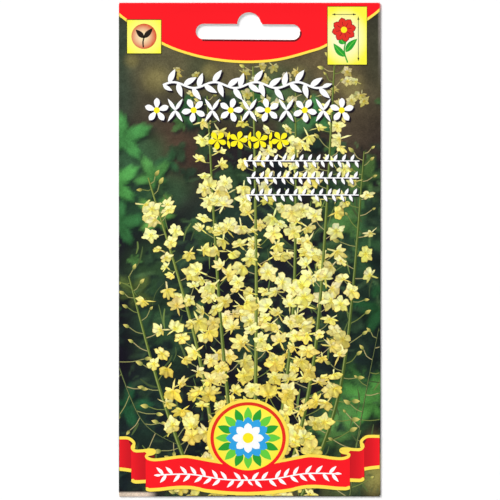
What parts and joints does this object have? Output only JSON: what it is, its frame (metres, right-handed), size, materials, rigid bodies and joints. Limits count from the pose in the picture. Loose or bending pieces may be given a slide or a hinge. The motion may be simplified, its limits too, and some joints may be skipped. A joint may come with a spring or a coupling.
{
  "type": "seed packet",
  "caption": "Flat folded-paper packet with a hanging slot, glued flaps on its back and loose flower seeds inside; its front has an unlettered flower print.",
  "frame": {"origin": "centre of the packet's footprint, on the surface it lies on", "axes": "+Z out of the front panel, +Y towards the end with the hanging slot, +X to the right as the front is read"},
  "size_m": [0.08, 0.151, 0.0027],
  "materials": {
    "printed_paper": "coated paper, printed, soft gloss",
    "glue": "dried glue film",
    "seed": "matt, dark brown, dry"
  },
  "bodies": {
    "root": {"paper_envelope": "printed_paper", "side_seam_glue": "glue", "top_flap_glue": "glue", "bottom_flap_glue": "glue", "seed_01": "seed", "seed_02": "seed", "seed_03": "seed", "seed_04": "seed", "seed_05": "seed", "seed_06": "seed", "seed_07": "seed", "seed_08": "seed", "seed_09": "seed", "seed_10": "seed", "seed_11": "seed", "seed_12": "seed", "seed_13": "seed", "seed_14": "seed", "seed_15": "seed", "seed_16": "seed", "seed_17": "seed", "seed_18": "seed", "seed_19": "seed", "seed_20": "seed", "seed_21": "seed", "seed_22": "seed", "seed_23": "seed", "seed_24": "seed", "seed_25": "seed", "seed_26": "seed", "seed_27": "seed", "seed_28": "seed", "seed_29": "seed", "seed_30": "seed", "seed_31": "seed", "seed_32": "seed", "seed_33": "seed", "seed_34": "seed", "seed_35": "seed", "seed_36": "seed"}
  },
  "joints": []
}
